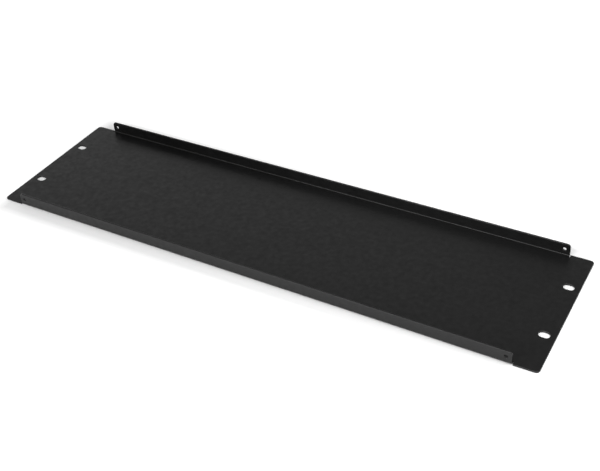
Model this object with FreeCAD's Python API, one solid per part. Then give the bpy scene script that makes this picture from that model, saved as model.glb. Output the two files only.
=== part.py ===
import FreeCAD, Part
import math
import os

# Blanking panel for a 19-inch rack, three rack units high.
#
# One sheet of steel, cut to its outline and folded twice. A flat face plate
# closes the opening of the rack, and runs out past the folds at each end as an
# ear with two slots for the rack screws. Between the ears a low flange is
# folded up along each long edge and stiffens the plate. Each flange has a small
# hole near each of its ends, and a narrow slit beside each end keeps the fold
# from tearing the ear.
#
# The panel lies on its outer face. X runs along the width of the rack, Y up the
# height of the rack, and Z from the outer face towards the inside of the rack.
# The origin is in the middle of the outer face. Sizes are in millimetres.

# Sheet
SHEET_THICKNESS = 1.5
INNER_BEND_RADIUS = 0.7
EDGE_RADIUS = 0.5             # soft edge of the deburred and coated sheet
RIM_CHAMFER = 0.2             # broken edge at each rim of a hole or slot

# Outline of the face plate
PANEL_WIDTH = 482.6           # over both ears
RACK_UNIT_HEIGHT = 44.45      # rack space is counted in units of this height
RACK_UNIT_COUNT = 3
HEIGHT_GAP = 0.79             # the panel is this much lower than its rack space
PANEL_CORNER_RADIUS = 3.0

# Ears and the slots in them
EAR_LENGTH = 19.3             # from the panel's end to the flange's end
SLOT_END_INSET = 8.75         # from the panel's end to the middle of a slot
SLOT_ROW_INSET = 38.1         # from the edge of the rack space to the middle of a slot
SLOT_LENGTH = 8.5
SLOT_WIDTH = 6.3

# Folded flanges
FLANGE_HEIGHT = 11.5          # from the outer face of the plate to the flange's top edge
FLANGE_CORNER_RADIUS = 3.0
FLANGE_HOLE_DIAMETER = 2.8
FLANGE_HOLE_END_INSET = 4.5   # from the flange's end to the middle of the hole
FLANGE_HOLE_EDGE_INSET = 5.0  # from the flange's top edge to the middle of the hole

# Slits that free the ends of the folds
RELIEF_WIDTH = 0.6
RELIEF_OVERRUN = 0.8          # how far a slit runs on past the fold

# Worked out from the sizes above
RACK_SPACE_HEIGHT = RACK_UNIT_COUNT * RACK_UNIT_HEIGHT
PANEL_HEIGHT = RACK_SPACE_HEIGHT - HEIGHT_GAP
SLOT_ROW_SPACING = RACK_SPACE_HEIGHT - 2 * SLOT_ROW_INSET
SLOT_COLUMN_SPACING = PANEL_WIDTH - 2 * SLOT_END_INSET
FLANGE_LENGTH = PANEL_WIDTH - 2 * EAR_LENGTH
OUTER_BEND_RADIUS = INNER_BEND_RADIUS + SHEET_THICKNESS
BEND_CENTRE_Y = PANEL_HEIGHT / 2 - OUTER_BEND_RADIUS
NOTCH_LENGTH = FLANGE_LENGTH + 2 * RELIEF_WIDTH
NOTCH_DEPTH = OUTER_BEND_RADIUS + RELIEF_OVERRUN
FLANGE_HOLE_SPACING = FLANGE_LENGTH - 2 * FLANGE_HOLE_END_INSET
FLANGE_HOLE_Z = FLANGE_HEIGHT - FLANGE_HOLE_EDGE_INSET

SIDES = (-1, 1)
ORIGIN = FreeCAD.Vector(0, 0, 0)
ALONG_X = FreeCAD.Vector(1, 0, 0)
ALONG_Y = FreeCAD.Vector(0, 1, 0)
ALONG_Z = FreeCAD.Vector(0, 0, 1)
QUARTER_TURN = math.pi / 2
SAME_POINT = 1e-6             # two points nearer than this are one point
SHARP_ANGLE = math.radians(20)  # faces that turn by more than this meet in a sharp edge


def rounded_rectangle(length, width, radius):
    """A flat face on the XY plane, centred on the origin, with rounded corners.

    The length lies along X. A radius of half the shorter side makes an obround.
    """
    reach_x = length / 2 - radius
    reach_y = width / 2 - radius
    centres = ((reach_x, reach_y), (-reach_x, reach_y), (-reach_x, -reach_y), (reach_x, -reach_y))
    corners = []
    for quarter, (x, y) in enumerate(centres):
        circle = Part.Circle(FreeCAD.Vector(x, y, 0), ALONG_Z, radius)
        start = quarter * QUARTER_TURN
        corners.append(Part.Arc(circle, start, start + QUARTER_TURN).toShape())
    outline = []
    for corner, next_corner in zip(corners, corners[1:] + corners[:1]):
        side_start = corner.valueAt(corner.LastParameter)
        side_end = next_corner.valueAt(next_corner.FirstParameter)
        outline.append(corner)
        if side_start.distanceToPoint(side_end) > SAME_POINT:
            outline.append(Part.makeLine(side_start, side_end))
    return Part.Face(Part.Wire(outline))


def outward_normal(face, point):
    """The direction that a face looks in at a point on it."""
    u, v = face.Surface.parameter(point)
    return face.normalAt(u, v)


def sharp_edges(solid):
    """The edges of a solid at which its skin turns sharply."""
    found = []
    for edge in solid.Edges:
        middle = edge.valueAt((edge.FirstParameter + edge.LastParameter) / 2)
        faces = solid.ancestorsOfType(edge, Part.Face)
        normals = [outward_normal(face, middle) for face in faces]
        if len(normals) == 2 and normals[0].getAngle(normals[1]) > SHARP_ANGLE:
            found.append(edge)
    return found


def finished_sheet(solid, cutters):
    """A piece of sheet with its outline's edges rounded, then cut through, with broken rims."""
    solid = solid.makeFillet(EDGE_RADIUS, sharp_edges(solid))
    for cutter in cutters:
        solid = solid.cut(cutter)
    return solid.makeChamfer(RIM_CHAMFER, sharp_edges(solid))


def rack_slots():
    """Cutters for the slots in the ears, which run along the panel so that screws can shift."""
    cutters = []
    for side_x in SIDES:
        for side_y in SIDES:
            outline = rounded_rectangle(SLOT_LENGTH, SLOT_WIDTH, min(SLOT_LENGTH, SLOT_WIDTH) / 2)
            cutter = outline.extrude(ALONG_Z * SHEET_THICKNESS)
            cutter.translate(ALONG_X * (side_x * SLOT_COLUMN_SPACING / 2))
            cutter.translate(ALONG_Y * (side_y * SLOT_ROW_SPACING / 2))
            cutters.append(cutter)
    return cutters


def flange_holes():
    """Two drills, each through both flanges near one end of the panel."""
    drills = []
    for side in SIDES:
        start = FreeCAD.Vector(side * FLANGE_HOLE_SPACING / 2, -PANEL_HEIGHT / 2, FLANGE_HOLE_Z)
        drills.append(Part.makeCylinder(FLANGE_HOLE_DIAMETER / 2, PANEL_HEIGHT, start, ALONG_Y))
    return drills


def face_plate():
    """The flat plate with both ears, and a notch in each long edge where the folds stand."""
    outline = rounded_rectangle(PANEL_WIDTH, PANEL_HEIGHT, PANEL_CORNER_RADIUS)
    plate = finished_sheet(outline.extrude(ALONG_Z * SHEET_THICKNESS), rack_slots())
    for side in SIDES:
        notch = Part.makeBox(NOTCH_LENGTH, 2 * NOTCH_DEPTH, SHEET_THICKNESS)
        notch.translate(FreeCAD.Vector(-NOTCH_LENGTH / 2, side * PANEL_HEIGHT / 2 - NOTCH_DEPTH, 0))
        plate = plate.cut(notch)
    return plate


def section_line(y_start, z_start, y_end, z_end):
    """A straight stretch of the folded sheet's section, on the YZ plane."""
    return Part.makeLine(FreeCAD.Vector(0, y_start, z_start), FreeCAD.Vector(0, y_end, z_end))


def section_bend(side, radius):
    """A quarter circle of the folded sheet's section, at the long edge on one side."""
    centre = FreeCAD.Vector(0, side * BEND_CENTRE_Y, OUTER_BEND_RADIUS)
    outward = ALONG_Y * (side * radius)
    downward = ALONG_Z * -radius
    halfway = (outward + downward) * math.sqrt(0.5)
    return Part.Arc(centre + outward, centre + halfway, centre + downward).toShape()


def folded_section():
    """The section of the sheet between the ears: flange, bend, plate, bend, flange."""
    edges = []
    for radius in (OUTER_BEND_RADIUS, INNER_BEND_RADIUS):
        wall_y = BEND_CENTRE_Y + radius
        plate_z = OUTER_BEND_RADIUS - radius
        edges.append(section_line(-BEND_CENTRE_Y, plate_z, BEND_CENTRE_Y, plate_z))
        for side in SIDES:
            edges.append(section_bend(side, radius))
            edges.append(section_line(side * wall_y, OUTER_BEND_RADIUS, side * wall_y, FLANGE_HEIGHT))
    for side in SIDES:
        outer_y = side * PANEL_HEIGHT / 2
        edges.append(section_line(outer_y, FLANGE_HEIGHT, outer_y - side * SHEET_THICKNESS, FLANGE_HEIGHT))
    return Part.Face(Part.Wire(Part.__sortEdges__(edges)))


def folded_strip():
    """The sheet between the ears, folded, with the flanges' top corners rounded."""
    strip = folded_section().extrude(ALONG_X * FLANGE_LENGTH)
    strip.translate(ALONG_X * (-FLANGE_LENGTH / 2))
    side_view = rounded_rectangle(FLANGE_LENGTH, 2 * FLANGE_HEIGHT, FLANGE_CORNER_RADIUS)
    side_view.rotate(ORIGIN, ALONG_X, 90)
    side_view.translate(ALONG_Y * (-PANEL_HEIGHT / 2))
    return finished_sheet(strip.common(side_view.extrude(ALONG_Y * PANEL_HEIGHT)), flange_holes())


def blanking_panel():
    """The whole panel, one solid. The slits are what the strip leaves open of the notches."""
    return face_plate().fuse(folded_strip()).removeSplitter().Solids[0]


os.makedirs("parts", exist_ok=True)
blanking_panel().exportStep("parts/blanking_panel.step")
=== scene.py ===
"""Looks of a blanking panel for a 19-inch rack.

The folded sheet keeps the shape that the solid model gives it. This script lays
a black powder coat on it, sets it on a pale studio floor under soft light, and
places the camera. Lengths are in millimetres until they go into the scene.
"""
import logging
import math
from dataclasses import dataclass, field
from enum import Enum
from typing import Any

import bmesh
import bpy
from mathutils import Matrix, Vector


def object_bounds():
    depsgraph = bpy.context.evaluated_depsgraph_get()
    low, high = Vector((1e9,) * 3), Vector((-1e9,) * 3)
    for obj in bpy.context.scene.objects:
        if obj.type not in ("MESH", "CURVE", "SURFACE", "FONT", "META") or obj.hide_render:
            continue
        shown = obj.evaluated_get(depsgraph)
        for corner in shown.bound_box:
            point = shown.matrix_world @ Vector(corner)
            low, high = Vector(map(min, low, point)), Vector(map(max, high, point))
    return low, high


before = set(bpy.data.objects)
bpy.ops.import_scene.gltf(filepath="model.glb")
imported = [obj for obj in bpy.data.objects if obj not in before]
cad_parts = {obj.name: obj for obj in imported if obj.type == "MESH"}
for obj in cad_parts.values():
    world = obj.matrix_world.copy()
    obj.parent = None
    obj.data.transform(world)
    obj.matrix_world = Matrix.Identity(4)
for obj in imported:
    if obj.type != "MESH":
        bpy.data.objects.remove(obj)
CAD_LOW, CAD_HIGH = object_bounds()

LOG = logging.getLogger("blanking_panel")
MM = 0.001
NOISE_MIDDLE = 0.5
NOISE_REACH = 0.2
SENSOR_MM = 36.0


def linear_colour(hex_code: str) -> tuple[float, float, float, float]:
    """Turn an sRGB colour into the linear one that a shader wants.

    Args:
        hex_code: Six hex digits after a hash sign.

    Returns:
        Red, green, blue and an alpha of one.
    """
    channels = []
    for start in (1, 3, 5):
        value = int(hex_code[start:start + 2], 16) / 255
        channels.append(value / 12.92 if value <= 0.04045 else ((value + 0.055) / 1.055) ** 2.4)
    return (channels[0], channels[1], channels[2], 1.0)


def add_node(
    tree: bpy.types.NodeTree,
    kind: str,
    settings: dict[str, Any] | None = None,
    inputs: dict[str, Any] | None = None,
) -> bpy.types.Node:
    """Add one node to a tree, with its settings, its values and its links.

    Args:
        tree: The tree that gets the node.
        kind: The node's type name.
        settings: Properties of the node itself.
        inputs: What goes into its sockets, by name or number: a value, or
            another node's output socket, which is linked.

    Returns:
        The new node.
    """
    node = tree.nodes.new(kind)
    for name, value in (settings or {}).items():
        setattr(node, name, value)
    for name, value in (inputs or {}).items():
        socket = node.inputs[name]
        if isinstance(value, bpy.types.NodeSocket):
            tree.links.new(value, socket)
        else:
            socket.default_value = value
    return node


def empty_tree(owner: bpy.types.Material | bpy.types.World) -> bpy.types.NodeTree:
    """Give a material or world a node tree with nothing in it.

    Args:
        owner: The material or world.

    Returns:
        Its empty tree.
    """
    owner.use_nodes = True
    owner.node_tree.nodes.clear()
    return owner.node_tree


@dataclass(frozen=True)
class SatinPowderCoat:
    """Black polyester powder coat, sprayed on steel sheet and baked.

    Baking leaves a hard satin skin. Its surface isn't quite flat: it leans a little
    to and fro in the low lumps called orange peel, with a finer grain on top.

    Attributes:
        name: The material's name.
        colour: The pigment's colour.
        roughness: The gloss of the skin, from 0, a mirror, to 1, matt.
        roughness_spread: How far the gloss drifts over the sheet, each way.
        ior: Index of refraction of the baked resin.
        cloud_mm: Width of the broad patches in which the gloss drifts.
        peel_mm: Width of one lump of the orange peel.
        peel_tilt: How far the skin leans there, as the rise over the run.
        grain_mm: Width of the fine grain.
        grain_height_mm: Height of that grain.
    """

    name: str = "black_satin_powder_coat"
    colour: str = "#080808"
    roughness: float = 0.32
    roughness_spread: float = 0.03
    ior: float = 1.45
    cloud_mm: float = 60.0
    peel_mm: float = 4.2
    peel_tilt: float = 0.0304
    grain_mm: float = 0.8
    grain_height_mm: float = 0.003

    def _noise(self, tree: bpy.types.NodeTree, place: bpy.types.NodeSocket, width_mm: float,
               detail: float) -> bpy.types.NodeSocket:
        """Add an even noise whose lumps have a given width.

        Args:
            tree: The material's tree.
            place: The coordinates that the noise reads, in metres.
            width_mm: Width of one lump.
            detail: Number of finer octaves on top of it.

        Returns:
            The noise, from 0 in its hollows to 1 on its tops.
        """
        noise = add_node(tree, "ShaderNodeTexNoise", {}, {
            "Vector": place, "Scale": 1 / (width_mm * MM), "Detail": detail, "Roughness": 0.5})
        spread = add_node(tree, "ShaderNodeMapRange", {}, {
            "Value": noise.outputs["Fac"],
            "From Min": NOISE_MIDDLE - NOISE_REACH, "From Max": NOISE_MIDDLE + NOISE_REACH})
        return spread.outputs["Result"]

    def build(self) -> bpy.types.Material:
        """Make the material.

        Returns:
            The finished powder coat.
        """
        material = bpy.data.materials.new(self.name)
        tree = empty_tree(material)
        place = add_node(tree, "ShaderNodeTexCoord").outputs["Object"]
        drift = add_node(tree, "ShaderNodeMapRange", {}, {
            "Value": self._noise(tree, place, self.cloud_mm, 2.0),
            "To Min": self.roughness - self.roughness_spread,
            "To Max": self.roughness + self.roughness_spread})
        peel = add_node(tree, "ShaderNodeTexNoise", {}, {
            "Vector": place, "Scale": 1 / (self.peel_mm * MM), "Detail": 1.0})
        lean = add_node(tree, "ShaderNodeVectorMath", {"operation": "SUBTRACT"}, {
            0: peel.outputs["Color"], 1: (NOISE_MIDDLE,) * 3})
        leaning = add_node(tree, "ShaderNodeVectorMath", {"operation": "MULTIPLY_ADD"}, {
            0: lean.outputs[0], 1: (self.peel_tilt / NOISE_REACH,) * 3,
            2: add_node(tree, "ShaderNodeNewGeometry").outputs["Normal"]})
        peeled = add_node(tree, "ShaderNodeVectorMath", {"operation": "NORMALIZE"}, {
            0: leaning.outputs[0]})
        grain = add_node(tree, "ShaderNodeBump", {}, {
            "Height": self._noise(tree, place, self.grain_mm, 0.0),
            "Distance": self.grain_height_mm * MM,
            "Normal": peeled.outputs[0]})
        skin = add_node(tree, "ShaderNodeBsdfPrincipled", {}, {
            "Base Color": linear_colour(self.colour),
            "IOR": self.ior,
            "Roughness": drift.outputs["Result"],
            "Normal": grain.outputs["Normal"]})
        add_node(tree, "ShaderNodeOutputMaterial", {}, {"Surface": skin.outputs["BSDF"]})
        return material


@dataclass(frozen=True)
class FoldedPanel:
    """The panel itself: one folded sheet, whose solid carries over unchanged.

    Attributes:
        node: The solid's name.
        coat: The finish on it.
    """

    node: str = "blanking_panel"
    coat: SatinPowderCoat = field(default_factory=SatinPowderCoat)

    def dress(self) -> bpy.types.Object:
        """Lay the powder coat on the sheet.

        Returns:
            The dressed sheet.
        """
        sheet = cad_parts[self.node]
        material = self.coat.build()
        for place in sheet.material_slots:
            place.material = material
        return sheet


@dataclass(frozen=True)
class StudioFloor:
    """A broad pale floor that runs out to the horizon, with painted shade round the panel.

    Attributes:
        radius_mm: How far the floor reaches.
        drop_mm: How far it lies under the panel's outer face, so that the two
            surfaces don't coincide.
        colour: The floor's colour.
        painted_shade_glow: White added where the camera or a reflection looks at the floor,
            under the panel and along its long edges. It is held low there as painted
            shade round the panel, which the near flange also shows in its reflection
            of the floor.
        glow_far: The same far from the panel.
        painted_shade_past_ends_mm: How far past the panel's ends the painted shade reaches
            before the glow starts to grow; below zero it stops short of them.
        painted_shade_past_edges_mm: How far past its long edges the painted shade reaches
            before the glow starts to grow.
        painted_shade_fade_mm: Over what distance the glow grows, so that the painted shade
            fades out.
        sides: Number of straight sides that stand for the floor's round edge.
    """

    radius_mm: float = 40000.0
    drop_mm: float = 0.05
    colour: str = "#F0F0F0"
    painted_shade_glow: float = 0.04
    glow_far: float = 1.0
    painted_shade_past_ends_mm: float = -8.0
    painted_shade_past_edges_mm: float = 8.0
    painted_shade_fade_mm: float = 34.0
    sides: int = 128

    def _material(self) -> bpy.types.Material:
        """Make the floor's paint, which is clear when it is seen from below.

        Its glow is held low under and close round the panel as painted shade,
        which the near flange also shows in its reflection of the floor.

        Returns:
            The paint.
        """
        material = bpy.data.materials.new("pale_studio_paint_and_painted_shade")
        tree = empty_tree(material)
        ray = add_node(tree, "ShaderNodeLightPath").outputs
        seen = add_node(tree, "ShaderNodeMath", {"operation": "ADD"}, {
            0: ray["Is Camera Ray"], 1: ray["Is Glossy Ray"]})
        seen_at_all = add_node(tree, "ShaderNodeMath", {"operation": "ADD"}, {
            0: seen.outputs[0], 1: ray["Is Transmission Ray"]})
        place = add_node(tree, "ShaderNodeTexCoord").outputs["Object"]
        side = add_node(tree, "ShaderNodeVectorMath", {"operation": "ABSOLUTE"}, {0: place})
        # Painted shade: inside this box round the panel the glow stays low, and past it the glow
        # grows.
        painted_shade_box = (CAD_HIGH.x + self.painted_shade_past_ends_mm * MM,
                CAD_HIGH.y + self.painted_shade_past_edges_mm * MM, 0)
        past = add_node(tree, "ShaderNodeVectorMath", {"operation": "SUBTRACT"}, {
            0: side.outputs[0], 1: painted_shade_box})
        outside = add_node(tree, "ShaderNodeVectorMath", {"operation": "MAXIMUM"}, {
            0: past.outputs[0], 1: (0, 0, 0)})
        away = add_node(tree, "ShaderNodeVectorMath", {"operation": "LENGTH"}, {
            0: outside.outputs[0]})
        # The glow: low in the painted shade round the panel, full far from it.
        glow_with_painted_shade = add_node(tree, "ShaderNodeMapRange", {}, {
            "Value": away.outputs["Value"], "From Max": self.painted_shade_fade_mm * MM,
            "To Min": self.painted_shade_glow, "To Max": self.glow_far})
        glow = add_node(tree, "ShaderNodeMath", {"operation": "MULTIPLY"}, {
            0: seen_at_all.outputs[0], 1: glow_with_painted_shade.outputs["Result"]})
        paint = add_node(tree, "ShaderNodeBsdfDiffuse", {}, {"Color": linear_colour(self.colour)})
        light = add_node(tree, "ShaderNodeEmission", {}, {"Strength": glow.outputs[0]})
        top = add_node(tree, "ShaderNodeAddShader", {}, {
            0: paint.outputs[0], 1: light.outputs[0]})
        clear = add_node(tree, "ShaderNodeBsdfTransparent")
        both = add_node(tree, "ShaderNodeMixShader", {}, {
            0: add_node(tree, "ShaderNodeNewGeometry").outputs["Backfacing"],
            1: top.outputs[0], 2: clear.outputs[0]})
        add_node(tree, "ShaderNodeOutputMaterial", {}, {"Surface": both.outputs[0]})
        return material

    def build(self) -> bpy.types.Object:
        """Make the floor and put it in the scene.

        Returns:
            The floor.
        """
        mesh = bpy.data.meshes.new("studio_floor")
        shape = bmesh.new()
        bmesh.ops.create_circle(
            shape, cap_ends=True, segments=self.sides, radius=self.radius_mm * MM,
            matrix=Matrix.Translation((0, 0, CAD_LOW.z - self.drop_mm * MM)))
        shape.to_mesh(mesh)
        shape.free()
        mesh.materials.append(self._material())
        floor = bpy.data.objects.new("studio_floor", mesh)
        bpy.context.scene.collection.objects.link(floor)
        return floor


@dataclass(frozen=True)
class StudioSurround:
    """The room round the floor: pale near the horizon and darker overhead.

    Attributes:
        horizon: Brightness at the horizon.
        zenith: Brightness straight up.
        fall: How soon the brightness falls with height; higher is sooner.
    """

    horizon: float = 1.03
    zenith: float = 0.218
    fall: float = 1.6

    def build(self) -> bpy.types.World:
        """Make the surround and use it as the scene's world.

        Returns:
            The world.
        """
        world = bpy.data.worlds.new("studio_surround")
        tree = empty_tree(world)
        direction = add_node(tree, "ShaderNodeTexCoord").outputs["Generated"]
        height = add_node(tree, "ShaderNodeSeparateXYZ", {}, {0: direction}).outputs["Z"]
        low = add_node(tree, "ShaderNodeMath", {"operation": "SUBTRACT", "use_clamp": True}, {
            0: 1.0, 1: height})
        curve = add_node(tree, "ShaderNodeMath", {"operation": "POWER"}, {
            0: low.outputs[0], 1: self.fall})
        strength = add_node(tree, "ShaderNodeMapRange", {}, {
            "Value": curve.outputs[0], "To Min": self.zenith, "To Max": self.horizon})
        sky = add_node(tree, "ShaderNodeBackground", {}, {"Strength": strength.outputs["Result"]})
        add_node(tree, "ShaderNodeOutputWorld", {}, {"Surface": sky.outputs[0]})
        bpy.context.scene.world = world
        return world


class LampRole(Enum):
    """What a lamp does in the studio."""

    KEY = "key"
    SIDE = "side"
    BACK = "back"


@dataclass(frozen=True)
class SoftBox:
    """A flat lamp with a white cloth front, aimed at the panel.

    Attributes:
        role: What the lamp is for.
        azimuth: Where it hangs round the panel, in degrees, as the camera's.
        elevation: How high it hangs above the floor, in degrees.
        distance_mm: How far it hangs from the panel.
        width_mm: Width of its front, level with the floor.
        height_mm: Height of its front.
        level: Brightness that it alone gives a white sheet facing it.
    """

    role: LampRole
    azimuth: float
    elevation: float
    distance_mm: float
    width_mm: float
    height_mm: float
    level: float

    def build(self) -> bpy.types.Object:
        """Make the lamp and hang it.

        Returns:
            The lamp.
        """
        light = bpy.data.lights.new(f"{self.role.value}_softbox", "AREA")
        light.shape = "RECTANGLE"
        light.size = self.width_mm * MM
        light.size_y = self.height_mm * MM
        light.energy = self.level * (math.pi * self.distance_mm * MM) ** 2
        lamp = bpy.data.objects.new(light.name, light)
        bpy.context.scene.collection.objects.link(lamp)
        back = direction_to(self.azimuth, self.elevation)
        lamp.location = back * self.distance_mm * MM
        lamp.rotation_euler = (-back).to_track_quat("-Z", "Y").to_euler()
        return lamp


def direction_to(azimuth: float, elevation: float) -> Vector:
    """The direction from the panel to something round it.

    Args:
        azimuth: Degrees round from the panel's near side, towards its right end.
        elevation: Degrees above the floor.

    Returns:
        A vector of length one.
    """
    turn = math.radians(azimuth)
    rise = math.radians(elevation)
    return Vector((math.sin(turn) * math.cos(rise), -math.cos(turn) * math.cos(rise), math.sin(rise)))


@dataclass(frozen=True)
class StudioCamera:
    """The camera: it looks down on the panel from in front of its right half.

    Attributes:
        azimuth: Degrees round from the panel's near side, towards its right end.
        elevation: Degrees above the floor.
        roll: How far the camera leans, in degrees.
        distance_mm: From the camera to the plane through the panel's middle.
        across_mm: How far the camera is moved to its own right.
        up_mm: How far it is moved up, square to its line of sight.
        lens_mm: Focal length.
        nearest_mm: Nothing nearer than this is drawn.
        farthest_mm: Nothing farther than this is drawn; the floor's edge is nearer.
    """

    azimuth: float = 31.54
    elevation: float = 37.32
    roll: float = -3.73
    distance_mm: float = 808.5
    across_mm: float = 16.4
    up_mm: float = -5.5
    lens_mm: float = 58.9
    nearest_mm: float = 10.0
    farthest_mm: float = 50000.0

    def build(self) -> bpy.types.Object:
        """Make the camera and use it for the scene.

        Returns:
            The camera.
        """
        data = bpy.data.cameras.new("studio_camera")
        data.sensor_width = SENSOR_MM
        data.lens = self.lens_mm
        data.clip_start = self.nearest_mm * MM
        data.clip_end = self.farthest_mm * MM
        camera = bpy.data.objects.new("studio_camera", data)
        bpy.context.scene.collection.objects.link(camera)
        back = direction_to(self.azimuth, self.elevation)
        right = Vector((0, 0, 1)).cross(back).normalized()
        up = back.cross(right)
        lean = Matrix.Rotation(math.radians(self.roll), 3, back)
        right, up = lean @ right, lean @ up
        place = (right * self.across_mm + up * self.up_mm + back * self.distance_mm) * MM
        turn = Matrix((right, up, back)).transposed().to_4x4()
        camera.matrix_world = Matrix.Translation(place) @ turn
        bpy.context.scene.camera = camera
        return camera


def main() -> None:
    """Dress the panel, build the studio and report each piece."""
    logging.basicConfig(level=logging.INFO, format="%(message)s")
    sheet = FoldedPanel().dress()
    LOG.info("%s dressed in %s", sheet.name, sheet.material_slots[0].name)
    LOG.info("floor: %s", StudioFloor().build().name)
    LOG.info("surround: %s", StudioSurround().build().name)
    lamps = (
        SoftBox(LampRole.KEY, azimuth=-13.5, elevation=38, distance_mm=1600,
                width_mm=990, height_mm=780, level=0.56),
        SoftBox(LampRole.SIDE, azimuth=78, elevation=48, distance_mm=600,
                width_mm=450, height_mm=450, level=0.62),
        SoftBox(LampRole.BACK, azimuth=-139, elevation=34, distance_mm=1800,
                width_mm=1600, height_mm=1600, level=0.03),
    )
    for lamp in lamps:
        LOG.info("lamp: %s", lamp.build().name)
    LOG.info("camera: %s", StudioCamera().build().name)
    bpy.context.scene.view_settings.view_transform = "Standard"


if __name__ == "__main__":
    main()
